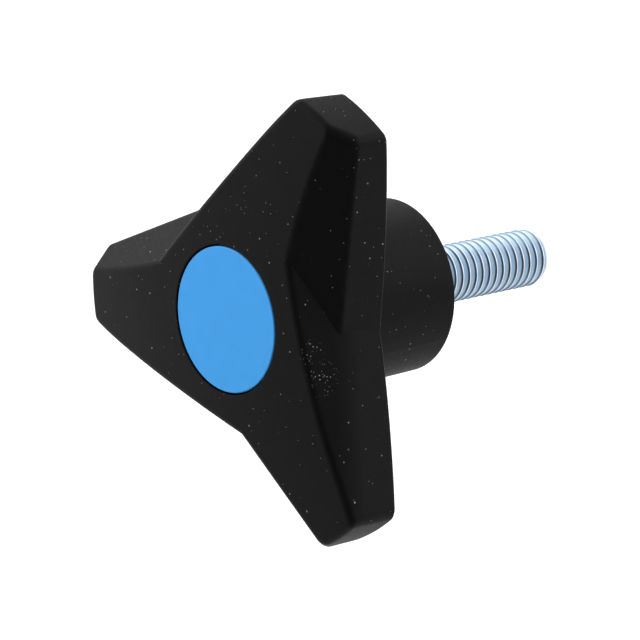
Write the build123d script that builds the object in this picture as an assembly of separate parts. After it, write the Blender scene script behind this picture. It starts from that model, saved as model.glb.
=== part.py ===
from build123d import *
from math import hypot, radians, sin, sqrt, tan
import os

# Three-arm clamping knob: a moulded grip with its hub, a round cap pressed into its front,
# and a threaded stud moulded into the hub. Millimetres.
# The origin is the centre of the hub's seating face. The stud runs along +Y, the front of
# the grip faces -Y, and one arm points up along +Z.
# Each form is drawn with the knob's axis on Z and its front upwards, so that height 0 is the
# seating face, and is turned once, at the end, so that the front faces -Y.

# Driving sizes of the grip
ARM_COUNT = 3
ARM_SPAN = 63.0                # circle through the ends of the arms
OVERALL_HEIGHT = 30.2          # seating face to the middle of the domed front
GRIP_DEPTH = 14.1              # thickness of the grip at its middle
FRONT_DOME_RADIUS = 140.0      # both faces of the grip are shallow domes
BACK_DOME_RADIUS = 185.0

# An arm's sides are four flat faces. Each has a turn, which is the angle between its level
# lines and the arm, and a distance from the axis, measured at the ridge depth.
ARM_ROOT = 5.0                 # how far an arm's root reaches past the axis into the others
RIDGE_DEPTH = 6.15             # middle of the front to the ridges along the arms' sides
CLOCKWISE_TURN = 20.6
CLOCKWISE_OUT = 15.4           # upright flank, clockwise as seen from the front
FACET_SLOPE = 45.0             # the facet above it, degrees from the axis
OTHER_TURN = 19.8
OTHER_OUT = 15.4               # flank on the arm's other side
OTHER_TAPER = 3.5              # it closes in towards the back, degrees
LEAN_TURN = 17.4
LEAN_OUT = 15.0                # narrow face between that flank and the front
LEAN_ANGLE = 14.0              # degrees from the axis

# Edges of the grip: rounded, apart from a narrow chamfer around the back
FACET_RIDGE = 1.3
LEAN_RIDGE = 12.0
END_CORNER = 1.6
FRONT_EDGE = 1.0
BACK_EDGE = 0.4

# Hub behind the arms
HUB_DIAMETER = 23.2
HUB_DRAFT = 1.0                # degrees, wider towards the arms
HUB_RIM = 0.4

# Cap, and the recess that it snaps into
CAP_DIAMETER = 19.1
CAP_THICKNESS = 1.8
CAP_EDGE = 0.12
CAP_SINK = 0.02                # cap's face below the rim of its recess
CAP_GAP = 0.25                 # play around the disc
SKIRT_DIAMETER = 14.6
SKIRT_WALL = 1.2
SKIRT_LENGTH = 4.5
SKIRT_PLAY = 0.05
SKIRT_SLOTS = 4
SKIRT_SLOT_WIDTH = 1.6
BEAD_HEIGHT = 0.3
BEAD_WIDTH = 1.4
BEAD_FROM_END = 1.3            # end of the skirt to the middle of its snap bead
POCKET_CLEAR = 2.0             # free depth below the skirt

# Stud
THREAD_DIAMETER = 8.0
STUD_LENGTH = 25.0             # free length outside the hub
END_TAPER = 1.5                # length of the chamfer at the stud's end
END_DIAMETER = 6.4             # flat end inside that chamfer
BURIED_LENGTH = 9.0            # shank inside the hub
BURIED_DIAMETER = 7.2          # that shank, before the thread is rolled
THREAD_START = 0.4             # cone between the two diameters, just inside the hub
HEAD_ACROSS_FLATS = 13.0
HEAD_HEIGHT = 5.3
HEAD_BEVEL = 30.0              # degrees from the flat of the head

SECTOR = 360 / ARM_COUNT
TIP_RADIUS = ARM_SPAN / 2
BACK_MIDDLE = OVERALL_HEIGHT - GRIP_DEPTH
FRONT_DOME_CENTRE = OVERALL_HEIGHT - FRONT_DOME_RADIUS
BACK_DOME_CENTRE = BACK_MIDDLE + BACK_DOME_RADIUS
RECESS_RADIUS = CAP_DIAMETER / 2 + CAP_GAP
RECESS_RIM = FRONT_DOME_CENTRE + sqrt(FRONT_DOME_RADIUS ** 2 - RECESS_RADIUS ** 2)
CAP_FACE = RECESS_RIM - CAP_SINK
CAP_SEAT = CAP_FACE - CAP_THICKNESS
SKIRT_END = CAP_SEAT - SKIRT_LENGTH
BEAD_LEVEL = SKIRT_END + BEAD_FROM_END


def outside(turn, distance, angle):
    """All that lies outside a flat face on an arm's anticlockwise side.

    The face's level lines make the given turn with the arm. It lies at a distance from the
    axis at the ridge depth, and leans inwards towards the front by an angle.
    """
    reach = 3 * ARM_SPAN
    slab = Box(reach, reach, reach, align=(Align.CENTER, Align.MIN, Align.CENTER))
    return Rot(0, 0, -turn) * Pos(0, distance, OVERALL_HEIGHT - RIDGE_DEPTH) * Rot(angle, 0, 0) * slab


def is_edge_of(edge, face):
    """True where an edge belongs to a face."""
    return any(edge.is_same(other) for other in face.edges())


def leans(face, angle):
    """True for a flat face that leans towards the front by an angle from the axis."""
    return face.geom_type == GeomType.PLANE and abs(face.normal_at().Z - sin(radians(angle))) < 0.01


def soften_ridge(arm, upper_angle, lower_angle, radius):
    """Round the ridge between a leaning face and the flank on the same side of an arm."""
    upper = [face for face in arm.faces() if leans(face, upper_angle)][0]
    lower = [face for face in arm.faces() if leans(face, lower_angle)]
    shared = [edge for face in lower for edge in face.edges() if is_edge_of(edge, upper)]
    return fillet(ShapeList(shared).sort_by(Axis.X)[-1], radius)


def grip_arm():
    """One arm along X, its root carried past the axis, still uncut at the front and back."""
    arm = Cylinder(TIP_RADIUS, 2 * OVERALL_HEIGHT, align=(Align.CENTER, Align.CENTER, Align.MIN))
    bar = Box(ARM_SPAN, ARM_SPAN, 2 * OVERALL_HEIGHT, align=(Align.MIN, Align.CENTER, Align.MIN))
    arm &= Pos(-ARM_ROOT, 0, 0) * bar
    arm -= mirror(outside(CLOCKWISE_TURN, CLOCKWISE_OUT, 0), Plane.XZ)
    arm -= mirror(outside(CLOCKWISE_TURN, CLOCKWISE_OUT, FACET_SLOPE), Plane.XZ)
    arm -= outside(OTHER_TURN, OTHER_OUT, -OTHER_TAPER)
    arm -= outside(LEAN_TURN, LEAN_OUT, LEAN_ANGLE)
    arm = soften_ridge(arm, FACET_SLOPE, 0, FACET_RIDGE)
    return soften_ridge(arm, LEAN_ANGLE, -OTHER_TAPER, LEAN_RIDGE)


def rises(edge):
    """True for an edge that runs along the axis rather than around it."""
    return abs((edge @ 1 - edge @ 0).Z) > 0.5 * edge.length


def dome(radius, centre_height):
    """Ball for a domed face, turned so that its poles lie far away from that face."""
    return Pos(0, 0, centre_height) * Rot(90, 0, 0) * Sphere(radius)


def end_edges(star):
    """Edges of the arms' ends: the upright corners, and the slanted ones along the facets."""
    facets = [face for face in star.faces() if leans(face, FACET_SLOPE)]
    rounds = star.faces().filter_by(GeomType.CYLINDER)
    ends = [face for face in rounds if hypot(face.center().X, face.center().Y) > TIP_RADIUS - END_CORNER]
    edges = [edge for end in ends for edge in end.edges()]
    slanted = [edge for edge in edges if any(is_edge_of(edge, facet) for facet in facets)]
    upright = [edge for edge in edges if rises(edge) and edge not in slanted]
    return upright, slanted


def grip():
    """The arms joined into one star between the two domes, with its edges rounded."""
    arm = grip_arm()
    star = Rot(0, 0, 90) * arm
    for index in range(1, ARM_COUNT):
        star += Rot(0, 0, 90 + index * SECTOR) * arm
    star &= dome(FRONT_DOME_RADIUS, FRONT_DOME_CENTRE)
    star &= dome(BACK_DOME_RADIUS, BACK_DOME_CENTRE)
    star = fillet(end_edges(star)[0], END_CORNER)
    front = star.faces().filter_by(GeomType.SPHERE).sort_by(Axis.Z)[-1]
    star = fillet(front.edges() + end_edges(star)[1], FRONT_EDGE)
    back = star.faces().filter_by(GeomType.SPHERE).sort_by(Axis.Z)[0]
    return chamfer(back.edges(), BACK_EDGE)


def hub():
    """Drafted boss from the seating face up into the arms."""
    rear = HUB_DIAMETER / 2
    top = (BACK_MIDDLE + OVERALL_HEIGHT) / 2
    boss = Cone(rear, rear + top * tan(radians(HUB_DRAFT)), top, align=(Align.CENTER, Align.CENTER, Align.MIN))
    rim = boss.edges().filter_by(GeomType.CIRCLE).sort_by(Axis.Z)[0]
    return chamfer(rim, HUB_RIM)


def cap_profile(disc_radius, skirt_radius, skirt_end, bead_width, face_level):
    """Half section of the cap, or of its recess: a disc, a narrower skirt and its snap bead."""
    with BuildSketch(Plane.XZ) as section:
        with BuildLine():
            Polyline(
                (0, skirt_end),
                (0, face_level),
                (disc_radius, face_level),
                (disc_radius, CAP_SEAT),
                (skirt_radius, CAP_SEAT),
                (skirt_radius, BEAD_LEVEL + bead_width / 2),
                (skirt_radius + BEAD_HEIGHT, BEAD_LEVEL),
                (skirt_radius, BEAD_LEVEL - bead_width / 2),
                (skirt_radius, skirt_end),
                close=True,
            )
        make_face()
    return section.sketch.face()


def cap_recess():
    """Stepped recess in the middle of the front, with a groove for the cap's bead."""
    skirt_radius = SKIRT_DIAMETER / 2 + SKIRT_PLAY
    floor = SKIRT_END - POCKET_CLEAR
    groove_width = BEAD_WIDTH + 2 * SKIRT_PLAY
    section = cap_profile(RECESS_RADIUS, skirt_radius, floor, groove_width, OVERALL_HEIGHT + CAP_THICKNESS)
    return revolve(section, Axis.Z)


def stud():
    """Stud with a tapered end, and the hexagon head that the hub is moulded around."""
    upright = (Align.CENTER, Align.CENTER, Align.MIN)
    end = Cone(END_DIAMETER / 2, THREAD_DIAMETER / 2, END_TAPER, align=upright)
    thread = Cylinder(THREAD_DIAMETER / 2, STUD_LENGTH - END_TAPER, align=upright)
    start = Cone(THREAD_DIAMETER / 2, BURIED_DIAMETER / 2, THREAD_START, align=upright)
    shank = Cylinder(BURIED_DIAMETER / 2, BURIED_LENGTH - THREAD_START, align=upright)
    head = extrude(RegularPolygon(HEAD_ACROSS_FLATS / 2, 6, major_radius=False), HEAD_HEIGHT)
    bevel_reach = HEAD_HEIGHT / tan(radians(HEAD_BEVEL))
    head &= Cone(HEAD_ACROSS_FLATS / 2 + bevel_reach, HEAD_ACROSS_FLATS / 2, HEAD_HEIGHT, align=upright)
    bolt = Pos(0, 0, -STUD_LENGTH) * end + Pos(0, 0, END_TAPER - STUD_LENGTH) * thread
    return bolt + start + Pos(0, 0, THREAD_START) * shank + Pos(0, 0, BURIED_LENGTH) * head


def cap():
    """Round cap: a thin disc with a slotted snap skirt behind it."""
    section = cap_profile(CAP_DIAMETER / 2, SKIRT_DIAMETER / 2, SKIRT_END, BEAD_WIDTH, CAP_FACE)
    body = revolve(section, Axis.Z)
    upright = (Align.CENTER, Align.CENTER, Align.MIN)
    bore = Cylinder(SKIRT_DIAMETER / 2 - SKIRT_WALL, SKIRT_LENGTH, align=upright)
    slot = Box(SKIRT_DIAMETER, SKIRT_SLOT_WIDTH, SKIRT_LENGTH, align=(Align.MIN, Align.CENTER, Align.MIN))
    body -= Pos(0, 0, SKIRT_END) * bore
    for index in range(SKIRT_SLOTS):
        body -= Pos(0, 0, SKIRT_END) * Rot(0, 0, index * 360 / SKIRT_SLOTS) * slot
    edge = body.edges().filter_by(GeomType.CIRCLE).sort_by(Axis.Z)[-1]
    return chamfer(edge, CAP_EDGE)


def knob_body():
    """Grip and hub in one moulding, with the recess and the space that the stud fills."""
    return grip() + hub() - cap_recess() - stud()


def write_part(shape, node):
    """Turn a finished form so that its front faces -Y, and write it."""
    turned = Rot(90, 0, 0) * shape
    turned.label = node
    export_step(turned, f"parts/{node}.step")


os.makedirs("parts", exist_ok=True)
write_part(knob_body(), "knob_body")
write_part(cap(), "cap")
write_part(stud(), "threaded_stud")
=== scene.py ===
from math import cos, pi, radians, sin

import bmesh
import bpy
from mathutils import Matrix, Vector


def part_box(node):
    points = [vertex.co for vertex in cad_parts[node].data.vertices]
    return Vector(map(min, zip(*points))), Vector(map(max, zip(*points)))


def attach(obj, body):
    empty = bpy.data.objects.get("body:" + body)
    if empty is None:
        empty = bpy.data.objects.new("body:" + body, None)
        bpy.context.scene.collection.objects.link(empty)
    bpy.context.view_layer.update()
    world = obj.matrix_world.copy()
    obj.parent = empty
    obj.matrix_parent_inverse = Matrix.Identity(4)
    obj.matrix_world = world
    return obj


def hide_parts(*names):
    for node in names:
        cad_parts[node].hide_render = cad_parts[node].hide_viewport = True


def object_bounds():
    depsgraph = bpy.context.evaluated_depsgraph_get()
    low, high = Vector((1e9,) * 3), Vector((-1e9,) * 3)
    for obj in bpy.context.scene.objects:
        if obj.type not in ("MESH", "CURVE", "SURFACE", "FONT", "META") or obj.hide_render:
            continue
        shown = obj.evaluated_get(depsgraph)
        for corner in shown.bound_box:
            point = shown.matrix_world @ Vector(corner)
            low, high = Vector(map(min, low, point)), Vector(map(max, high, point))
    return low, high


# Looks of a three-arm clamping knob: matte black plastic with dust on it, a blue cap and a
# plated stud with its true thread. Metres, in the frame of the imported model: the stud runs
# along +Y, the front of the grip faces -Y, and one arm points up along +Z.

MM = 0.001

# Camera. The azimuth is measured from the front towards the right (+X).
CAMERA_AZIMUTH = 39.355
CAMERA_ELEVATION = 33.367
CAMERA_ROLL = 21.849
CAMERA_DISTANCE = 562.37 * MM
CAMERA_AIM = Vector((-3.057, -8.329, -6.835)) * MM
CAMERA_LENS = 238.6
SENSOR_WIDTH = 36.0

# Floor under the held knob
FLOOR_DROP = 80 * MM           # below the lowest point of the knob
FLOOR_SIZE = 4.0
FLOOR_CLOUD = 0.05             # size of its faint clouds
FLOOR_COLOUR = (0.66, 0.66, 0.66, 1.0)
FLOOR_COLOUR_PALE = (0.70, 0.70, 0.70, 1.0)
FLOOR_GLOW = 0.6

# Thread of the stud, standard coarse M8
THREAD_PITCH = 1.25 * MM
CREST_RADIUS = 3.92 * MM
ROOT_RADIUS = 3.17 * MM
STUD_RADIUS = 4.0 * MM
END_RADIUS = 3.2 * MM          # flat end inside the tapered end
END_TAPER = 1.5 * MM
THREAD_PHASE = 0.21            # share of a turn
STEPS_PER_TURN = 96
TURNS_BEFORE = 2               # turns that start below the seating face
TURNS_AFTER = 1                # turns past the stud's end
# Half of the thread's profile, as shares of the pitch from a crest and of the depth from it
THREAD_PROFILE = ((0.0, 0.0), (0.05, 0.01), (0.08, 0.06), (0.11, 0.14), (0.2, 0.40),
                  (0.29, 0.66), (0.36, 0.86), (0.41, 0.955), (0.46, 0.99), (0.5, 1.0))
WELD = 0.001 * MM              # points this close together are one
SHARP_ANGLE = 35.0

# Body: colours as linear light, and sizes of its grain
BODY_COLOUR = (0.0018, 0.0016, 0.0021, 1.0)
BODY_COLOUR_PALE = (0.0027, 0.0025, 0.0031, 1.0)
BODY_SPECULAR = 0.076
BODY_MOTTLE = 2.2 * MM
BODY_BLEND = (0.30, 0.75)      # noise at which the pale colour starts and is full
BODY_GRAIN, BODY_GRAIN_HEIGHT = 0.16 * MM, 0.010 * MM
BODY_PORES, BODY_PORE_HEIGHT = 0.5 * MM, 0.012 * MM
BODY_RELIEF = 0.55
BODY_EDGE = 0.28 * MM          # radius that an edge seems to have
BODY_ROUGHNESS, BODY_ROUGHNESS_SPREAD = 0.47, 0.14

# Dust on the body. A kind of speck has its spacing, its radius and its share of the places.
DUST_COLOUR = (0.42, 0.41, 0.39, 1.0)
DUST_COVER = 0.95
DUST_ROUGHNESS = 0.4           # what it adds to the body's
COARSE_DUST = (1.6 * MM, 0.14 * MM, 0.55)
FINE_DUST = (0.8 * MM, 0.075 * MM, 0.4)
CROWDED_DUST = (0.42 * MM, 0.11 * MM, 0.95)
SPECK_CORE = 0.45              # share of its radius inside which a speck is solid
FAINTEST_SPECK = 0.25
# Places where it gathers, with their centre and reach, and the share of the reach that is full
DUSTY_SPOTS = (
    ((16.6 * MM, -27.4 * MM, 3.1 * MM), 2.8 * MM),
    ((14.0 * MM, -28.3 * MM, 5.5 * MM), 2.0 * MM),
)
SPOT_CORE = 0.25

# Cap
CAP_COLOUR = (0.034, 0.380, 0.915, 1.0)
CAP_COLOUR_DEEP = (0.030, 0.365, 0.890, 1.0)
CAP_SPECULAR = 0.35
CAP_CLOUD = 3.0 * MM
CAP_BLEND = (0.35, 0.70)
CAP_GRAIN, CAP_GRAIN_HEIGHT = 0.14 * MM, 0.006 * MM
CAP_RELIEF = 0.4
CAP_EDGE = 0.08 * MM
CAP_ROUGHNESS, CAP_ROUGHNESS_SPREAD = 0.36, 0.10

# Zinc plating. A band of painted shade just below each crest and a band of painted highlight on each
# crest fade in and out at shares of the pitch from a crest.
ZINC_COLOUR = (0.56, 0.71, 0.85, 1.0)
ZINC_COLOUR_WARM = (0.63, 0.74, 0.84, 1.0)
ZINC_EDGE_TINT = (0.46, 0.51, 0.64, 1.0)
ZINC_METALLIC = 0.9
ZINC_PATCHES = 1.6 * MM
ZINC_BLEND = (0.35, 0.70)
ZINC_MARKS, ZINC_MARK_HEIGHT = 0.12 * MM, 0.006 * MM
ZINC_MARK_SCALE = (1.0, 0.25, 1.0)      # marks are stretched along the stud
ZINC_RELIEF = 0.35
ZINC_ROUGHNESS, ZINC_ROUGHNESS_SPREAD = 0.57, 0.14
# Painted shade: a dark bluish band on the thread's flank just below each crest, on the hub's side
FLANK_SHADE_COLOUR = (0.09, 0.13, 0.18, 1.0)
FLANK_SHADE_COVER = 0.92
FLANK_SHADE_SMOOTHNESS = 0.35       # what it takes off the roughness
FLANK_SHADE_IN, FLANK_SHADE_OUT = (0.79, 0.85), (0.96, 0.93)
# Painted highlight: a nearly white band on each crest of the thread
CREST_HIGHLIGHT_COLOUR = (0.92, 0.95, 0.98, 1.0)
CREST_HIGHLIGHT_IN, CREST_HIGHLIGHT_OUT = (0.96, 0.99), (0.13, 0.07)
END_COLOUR = (0.66, 0.76, 0.85, 1.0)
END_IN = (24.1 * MM, 24.4 * MM)         # height on the stud at which this colour takes over

BEVEL_SAMPLES = 6

# Light. A lamp has a name, its direction as the camera sees it (right, up, near), its
# distance, its size and its strength. The studio is white behind the knob and dark on the
# camera's side, as mirror rays see it.
WHITE = (1.0, 1.0, 1.0, 1.0)
WORLD_LIGHT = 0.04
WHITE_FROM, WHITE_UNTIL = 0.25, -0.35     # share of a direction that points to the camera
LAMPS = (
    ("left", -0.965, -0.20, -0.17, 0.60, 0.45, 0.75),
    ("left_up", -0.75, 0.62, 0.10, 0.60, 0.70, 2.2),
    ("left_back", -0.66, 0.70, -0.45, 0.60, 0.60, 0.9),
    ("left_near", -0.75, 0.20, 0.60, 0.60, 0.45, 0.9),
    ("top", 0.10, 0.97, 0.10, 0.60, 0.45, 1.1),
    ("top_back", 0.34, 0.80, -0.50, 0.60, 0.45, 0.8),
    ("right_up", 0.83, 0.54, 0.10, 0.60, 0.45, 2.2),
    ("right_back", 0.80, 0.10, -0.60, 0.60, 0.45, 1.0),
    ("right_near", 0.78, 0.38, 0.50, 0.60, 0.40, 2.1),
    ("near", 0.38, 0.10, 0.92, 0.60, 0.40, 1.2),
    ("right_low", 0.85, -0.30, -0.10, 0.60, 0.45, 1.1),
)


class Nodes:
    """Short way to build a material's or the world's node tree."""

    def __init__(self, tree):
        self.tree = tree
        tree.nodes.clear()

    def put(self, socket, value):
        """Link an input to another node's socket, or set it to a value."""
        if isinstance(value, bpy.types.NodeSocket):
            self.tree.links.new(value, socket)
        else:
            socket.default_value = value

    def add(self, kind, settings=(), **inputs):
        """A node with its settings and its inputs."""
        node = self.tree.nodes.new("ShaderNode" + kind)
        for name, value in dict(settings).items():
            setattr(node, name, value)
        for name, value in inputs.items():
            self.put(node.inputs[name.replace("_", " ")], value)
        return node

    def pair(self, node, first, second):
        """Put two values into the first two inputs of a node."""
        self.put(node.inputs[0], first)
        self.put(node.inputs[1], second)
        return node

    def math(self, operation, first, second=0.0, clamp=False):
        """Result of a math node on two values or sockets."""
        node = self.add("Math", {"operation": operation, "use_clamp": clamp})
        return self.pair(node, first, second).outputs[0]

    def vary(self, value, spread, base):
        """A base value that grows by a spread with another value."""
        return self.math("ADD", self.math("MULTIPLY", value, spread), base)

    def ramp(self, value, low, high):
        """Smooth step from 0 at low to 1 at high."""
        node = self.add("MapRange", {"interpolation_type": "SMOOTHSTEP"}, Value=value)
        self.put(node.inputs["From Min"], low)
        self.put(node.inputs["From Max"], high)
        return node.outputs["Result"]

    def mix(self, factor, first, second):
        """Colour mixed from first to second by a factor."""
        node = self.add("Mix", {"data_type": "RGBA"})
        colour_inputs = [socket for socket in node.inputs if socket.type == "RGBA"]
        for socket, value in zip([node.inputs[0]] + colour_inputs, (factor, first, second)):
            self.put(socket, value)
        return next(socket for socket in node.outputs if socket.type == "RGBA")


def new_material(name):
    """Empty node material, the helper that fills it and its coordinates in metres."""
    material = bpy.data.materials.new(name)
    material.use_nodes = True
    nodes = Nodes(material.node_tree)
    return material, nodes, nodes.add("TexCoord").outputs["Object"]


def noise(nodes, place, size, detail, roughness=0.5):
    """Noise with features of a given size in metres."""
    node = nodes.add("TexNoise", Vector=place, Scale=1 / size, Detail=detail, Roughness=roughness)
    return node.outputs["Fac"]


def specks(nodes, place, spacing, radius, share):
    """Small round specks: one at most in each cell of a spacing, in a share of the cells."""
    cells = nodes.add("TexVoronoi", {"feature": "F1"}, Vector=place, Scale=1 / spacing, Randomness=1.0)
    near = nodes.ramp(cells.outputs["Distance"], radius / spacing, SPECK_CORE * radius / spacing)
    chance = nodes.add("SeparateColor", Color=cells.outputs["Color"])
    kept = nodes.math("LESS_THAN", chance.outputs["Red"], share)
    cover = nodes.math("ADD", chance.outputs["Green"], FAINTEST_SPECK, clamp=True)
    return nodes.math("MULTIPLY", near, nodes.math("MULTIPLY", kept, cover))


def dust(nodes, place):
    """Specks all over and crowded ones at the dusty spots, as a share of cover."""
    dusting = nodes.math("MAXIMUM", specks(nodes, place, *COARSE_DUST), specks(nodes, place, *FINE_DUST))
    for centre, reach in DUSTY_SPOTS:
        away = nodes.pair(nodes.add("VectorMath", {"operation": "DISTANCE"}), place, centre)
        patch = nodes.ramp(away.outputs["Value"], reach, SPOT_CORE * reach)
        crowd = specks(nodes, place, *CROWDED_DUST)
        dusting = nodes.math("MAXIMUM", dusting, nodes.math("MULTIPLY", crowd, patch))
    return nodes.math("MULTIPLY", dusting, DUST_COVER)


def surface(nodes, colour, roughness, height, relief, edge_radius=None):
    """Shader with a fine relief on it, and with soft edges where a radius is given."""
    bump = nodes.add("Bump", Strength=relief, Distance=1.0, Height=height)
    if edge_radius:
        edges = nodes.add("Bevel", {"samples": BEVEL_SAMPLES}, Radius=edge_radius)
        nodes.put(bump.inputs["Normal"], edges.outputs["Normal"])
    normal = bump.outputs["Normal"]
    shader = nodes.add("BsdfPrincipled", Base_Color=colour, Roughness=roughness, Normal=normal)
    nodes.add("OutputMaterial", Surface=shader.outputs["BSDF"])
    return shader


def body_material():
    """Matte black glass-filled plastic with a fine grain and dust on it."""
    material, nodes, place = new_material("black_plastic_grained")
    mottle = noise(nodes, place, BODY_MOTTLE, detail=5.0, roughness=0.65)
    grain = noise(nodes, place, BODY_GRAIN, detail=3.0, roughness=0.6)
    pores = noise(nodes, place, BODY_PORES, detail=2.0)
    plain = nodes.mix(nodes.ramp(mottle, *BODY_BLEND), BODY_COLOUR, BODY_COLOUR_PALE)
    dusting = dust(nodes, place)
    colour = nodes.mix(dusting, plain, DUST_COLOUR)
    roughness = nodes.vary(pores, BODY_ROUGHNESS_SPREAD, BODY_ROUGHNESS)
    roughness = nodes.math("ADD", roughness, nodes.math("MULTIPLY", dusting, DUST_ROUGHNESS), clamp=True)
    height = nodes.math("MULTIPLY", pores, BODY_PORE_HEIGHT)
    height = nodes.math("ADD", nodes.math("MULTIPLY", grain, BODY_GRAIN_HEIGHT), height)
    shader = surface(nodes, colour, roughness, height, BODY_RELIEF, BODY_EDGE)
    shader.inputs["Specular IOR Level"].default_value = BODY_SPECULAR
    return material


def cap_material():
    """Sky-blue satin plastic."""
    material, nodes, place = new_material("blue_plastic_satin")
    cloud = noise(nodes, place, CAP_CLOUD, detail=4.0, roughness=0.6)
    grain = noise(nodes, place, CAP_GRAIN, detail=2.0)
    colour = nodes.mix(nodes.ramp(cloud, *CAP_BLEND), CAP_COLOUR_DEEP, CAP_COLOUR)
    roughness = nodes.vary(cloud, CAP_ROUGHNESS_SPREAD, CAP_ROUGHNESS)
    height = nodes.math("MULTIPLY", grain, CAP_GRAIN_HEIGHT)
    shader = surface(nodes, colour, roughness, height, CAP_RELIEF, CAP_EDGE)
    shader.inputs["Specular IOR Level"].default_value = CAP_SPECULAR
    return material


def pitch_share(nodes, axes):
    """Share of the pitch from the last crest of the thread, for each point of the stud."""
    turn = nodes.math("DIVIDE", nodes.math("ARCTAN2", axes["Z"], axes["X"]), 2 * pi)
    turns = nodes.math("SUBTRACT", nodes.math("DIVIDE", axes["Y"], THREAD_PITCH), turn)
    return nodes.math("FRACT", nodes.math("ADD", turns, THREAD_PHASE))


def zinc_material():
    """Bright zinc plating, slightly blue, with rolling marks, painted shade on the flank just below each
    crest and painted highlights on the crests.
    """
    material, nodes, place = new_material("zinc_plating")
    stretched = nodes.add("Mapping", Vector=place, Scale=ZINC_MARK_SCALE).outputs["Vector"]
    patches = noise(nodes, place, ZINC_PATCHES, detail=4.0, roughness=0.6)
    marks = noise(nodes, stretched, ZINC_MARKS, detail=3.0, roughness=0.6)
    axes = nodes.add("SeparateXYZ", Vector=place).outputs
    share = pitch_share(nodes, axes)
    flank_shade = nodes.math("MULTIPLY", nodes.ramp(share, *FLANK_SHADE_IN), nodes.ramp(share, *FLANK_SHADE_OUT))
    crest_highlight = nodes.math("MAXIMUM", nodes.ramp(share, *CREST_HIGHLIGHT_IN), nodes.ramp(share, *CREST_HIGHLIGHT_OUT))
    colour = nodes.mix(nodes.ramp(patches, *ZINC_BLEND), ZINC_COLOUR, ZINC_COLOUR_WARM)
    # Painted shade: the dark colour laid into the band just below each crest
    colour = nodes.mix(nodes.math("MULTIPLY", flank_shade, FLANK_SHADE_COVER), colour, FLANK_SHADE_COLOUR)
    # Painted highlight: the pale colour laid onto each crest
    colour = nodes.mix(crest_highlight, colour, CREST_HIGHLIGHT_COLOUR)
    colour = nodes.mix(nodes.ramp(axes["Y"], *END_IN), colour, END_COLOUR)
    roughness = nodes.vary(marks, ZINC_ROUGHNESS_SPREAD, ZINC_ROUGHNESS)
    roughness = nodes.math("SUBTRACT", roughness, nodes.math("MULTIPLY", flank_shade, FLANK_SHADE_SMOOTHNESS))
    height = nodes.math("MULTIPLY", marks, ZINC_MARK_HEIGHT)
    shader = surface(nodes, colour, roughness, height, ZINC_RELIEF)
    shader.inputs["Metallic"].default_value = ZINC_METALLIC
    shader.inputs["Specular Tint"].default_value = ZINC_EDGE_TINT
    return material


def floor_material():
    """Pale floor that looks white to camera, mirror and see-through rays and keeps the shadow."""
    material, nodes, place = new_material("pale_floor")
    tone = nodes.mix(noise(nodes, place, FLOOR_CLOUD, detail=3.0), FLOOR_COLOUR, FLOOR_COLOUR_PALE)
    lit = nodes.add("BsdfDiffuse", Color=tone, Roughness=0.5)
    rays = nodes.add("LightPath").outputs
    seen = nodes.math("MAXIMUM", rays["Is Camera Ray"], rays["Is Glossy Ray"])
    seen = nodes.math("MAXIMUM", seen, rays["Is Transmission Ray"])
    glow = nodes.add("Emission", Color=WHITE, Strength=nodes.math("MULTIPLY", seen, FLOOR_GLOW))
    both = nodes.pair(nodes.add("AddShader"), lit.outputs["BSDF"], glow.outputs["Emission"])
    nodes.add("OutputMaterial", Surface=both.outputs["Shader"])
    return material


def replace_materials(piece, material):
    """Give every face of a piece one material."""
    piece.data.materials.clear()
    piece.data.materials.append(material)


def thread_radius(share):
    """Radius of the thread at a share of the pitch from a crest."""
    share = min(share % 1.0, -share % 1.0)
    for (start, start_depth), (end, end_depth) in zip(THREAD_PROFILE, THREAD_PROFILE[1:]):
        if share <= end:
            depth = start_depth + (end_depth - start_depth) * (share - start) / (end - start)
            return CREST_RADIUS - (CREST_RADIUS - ROOT_RADIUS) * depth
    return ROOT_RADIUS


def helix_rows(mesh, stud_end):
    """Rows of vertices along the thread, one row for each step around it."""
    shares = [share for share, depth in THREAD_PROFILE]
    shares += [1.0 - share for share in reversed(shares[:-1])]
    turns = int(stud_end / THREAD_PITCH) + TURNS_BEFORE + TURNS_AFTER
    rows = []
    for step in range(turns * STEPS_PER_TURN + 1):
        angle = 2 * pi * (step / STEPS_PER_TURN + THREAD_PHASE)
        row = []
        for share in shares:
            along = THREAD_PITCH * (step / STEPS_PER_TURN + share - TURNS_BEFORE)
            radius = thread_radius(share)
            if along <= 0.0:
                along, radius = 0.0, STUD_RADIUS
            along = min(along, stud_end)
            taper = END_RADIUS + (STUD_RADIUS - END_RADIUS) * (stud_end - along) / END_TAPER
            radius = min(radius, taper)
            row.append(mesh.verts.new((radius * cos(angle), along, radius * sin(angle))))
        rows.append(row)
    return rows


def open_edges(mesh, level):
    """Edges with a face on one side only that lie at a level along the stud."""
    return [edge for edge in mesh.edges
            if edge.is_boundary and all(abs(corner.co.y - level) < WELD for corner in edge.verts)]


def turn_thread(mesh, stud_end):
    """Closed skin of the thread, from the seating face to the stud's flat end."""
    rows = helix_rows(mesh, stud_end)
    for row, following in zip(rows, rows[1:]):
        for corners in zip(row, row[1:], following[1:], following):
            levels = [corner.co.y for corner in corners]
            if max(levels) - min(levels) > WELD:
                mesh.faces.new(corners)
    loose = [corner for corner in mesh.verts if not corner.link_faces]
    bmesh.ops.delete(mesh, geom=loose, context="VERTS")
    bmesh.ops.remove_doubles(mesh, verts=mesh.verts, dist=WELD)
    bmesh.ops.dissolve_degenerate(mesh, edges=mesh.edges, dist=WELD)
    bmesh.ops.edgenet_fill(mesh, edges=open_edges(mesh, stud_end))
    bmesh.ops.recalc_face_normals(mesh, faces=mesh.faces)


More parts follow.
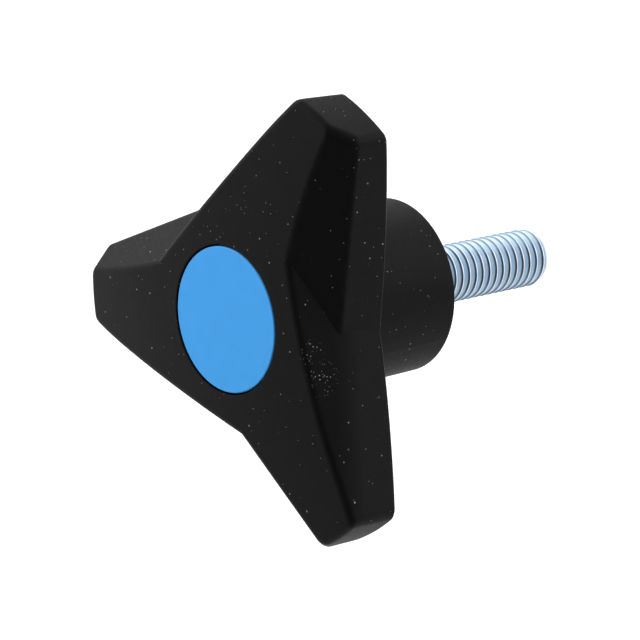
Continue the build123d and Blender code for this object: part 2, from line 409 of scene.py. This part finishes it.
def keep_buried_end(mesh, cad_stud):
    """Add the plain solid's shank and head, which lie inside the hub."""
    turned = set(mesh.faces)
    mesh.from_mesh(cad_stud.data)
    plain = [face for face in mesh.faces if face not in turned and face.calc_center_median().y > 0.0]
    bmesh.ops.delete(mesh, geom=plain, context="FACES")
    joint = [corner for corner in mesh.verts if abs(corner.co.y) < WELD]
    bmesh.ops.remove_doubles(mesh, verts=joint, dist=WELD)
    bmesh.ops.holes_fill(mesh, edges=open_edges(mesh, 0.0), sides=0)


def build_stud(cad_stud):
    """Stud with its helical thread, on the hidden shank and head of the plain solid."""
    mesh = bmesh.new()
    turn_thread(mesh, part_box("threaded_stud")[1].y)
    keep_buried_end(mesh, cad_stud)
    for face in mesh.faces:
        face.smooth = True
    data = bpy.data.meshes.new("threaded_stud_turned")
    mesh.to_mesh(data)
    mesh.free()
    data.set_sharp_from_angle(angle=radians(SHARP_ANGLE))
    stud = bpy.data.objects.new("threaded_stud_turned", data)
    bpy.context.scene.collection.objects.link(stud)
    return stud


def place_camera():
    """Camera of the photograph's view."""
    azimuth, elevation = radians(CAMERA_AZIMUTH), radians(CAMERA_ELEVATION)
    level = cos(elevation)
    towards = Vector((sin(azimuth) * level, -cos(azimuth) * level, sin(elevation)))
    data = bpy.data.cameras.new("camera")
    data.sensor_width = SENSOR_WIDTH
    data.lens = CAMERA_LENS
    view = bpy.data.objects.new("camera", data)
    turn = towards.to_track_quat("Z", "Y").to_matrix() @ Matrix.Rotation(radians(CAMERA_ROLL), 3, "Z")
    view.matrix_world = Matrix.Translation(CAMERA_AIM + towards * CAMERA_DISTANCE) @ turn.to_4x4()
    bpy.context.scene.collection.objects.link(view)
    bpy.context.scene.camera = view


def add_lamp(name, right, up, near, distance, size, strength):
    """Soft square lamp, placed by its direction as the camera sees it, aimed at the knob."""
    turn = bpy.context.scene.camera.matrix_world.to_3x3()
    direction = (turn @ Vector((right, up, near))).normalized()
    data = bpy.data.lights.new(name, "AREA")
    data.shape = "SQUARE"
    data.size = size
    data.energy = strength * pi * size * size
    light = bpy.data.objects.new(name, data)
    place = Matrix.Translation(CAMERA_AIM + direction * distance)
    light.matrix_world = place @ direction.to_track_quat("Z", "Y").to_matrix().to_4x4()
    light.visible_camera = False
    bpy.context.scene.collection.objects.link(light)


def surroundings():
    """White for the camera and for mirror rays from behind the knob, and a faint grey light."""
    world = bpy.data.worlds.new("studio")
    bpy.context.scene.world = world
    world.use_nodes = True
    nodes = Nodes(world.node_tree)
    towards = bpy.context.scene.camera.matrix_world.to_3x3() @ Vector((0.0, 0.0, 1.0))
    direction = nodes.add("TexCoord").outputs["Generated"]
    near = nodes.pair(nodes.add("VectorMath", {"operation": "DOT_PRODUCT"}), direction, towards)
    behind = nodes.ramp(near.outputs["Value"], WHITE_FROM, WHITE_UNTIL)
    rays = nodes.add("LightPath").outputs
    mirrored = nodes.math("MAXIMUM", rays["Is Glossy Ray"], rays["Is Transmission Ray"])
    white = nodes.math("MAXIMUM", rays["Is Camera Ray"], nodes.math("MULTIPLY", mirrored, behind))
    light = nodes.add("Background", Color=WHITE, Strength=nodes.math("MAXIMUM", white, WORLD_LIGHT))
    nodes.add("OutputWorld", Surface=light.outputs["Background"])


def build_floor():
    """Level floor under the held knob."""
    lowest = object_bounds()[0][2]
    half = FLOOR_SIZE / 2
    data = bpy.data.meshes.new("floor")
    corners = [(-half, -half, 0.0), (half, -half, 0.0), (half, half, 0.0), (-half, half, 0.0)]
    data.from_pydata(corners, [], [(0, 1, 2, 3)])
    floor = bpy.data.objects.new("floor", data)
    floor.location.z = lowest - FLOOR_DROP
    bpy.context.scene.collection.objects.link(floor)
    replace_materials(floor, floor_material())


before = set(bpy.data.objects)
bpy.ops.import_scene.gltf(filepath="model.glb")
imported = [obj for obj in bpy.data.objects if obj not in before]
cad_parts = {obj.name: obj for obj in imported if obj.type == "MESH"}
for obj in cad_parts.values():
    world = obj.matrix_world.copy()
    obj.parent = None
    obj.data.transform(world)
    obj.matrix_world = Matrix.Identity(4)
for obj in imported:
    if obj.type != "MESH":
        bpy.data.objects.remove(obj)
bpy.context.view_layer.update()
bpy.context.scene.view_settings.view_transform = "Standard"

replace_materials(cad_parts["knob_body"], body_material())
replace_materials(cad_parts["cap"], cap_material())
stud = build_stud(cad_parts["threaded_stud"])
replace_materials(stud, zinc_material())
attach(stud, "root")
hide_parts("threaded_stud")

place_camera()
for settings in LAMPS:
    add_lamp(*settings)
surroundings()
build_floor()
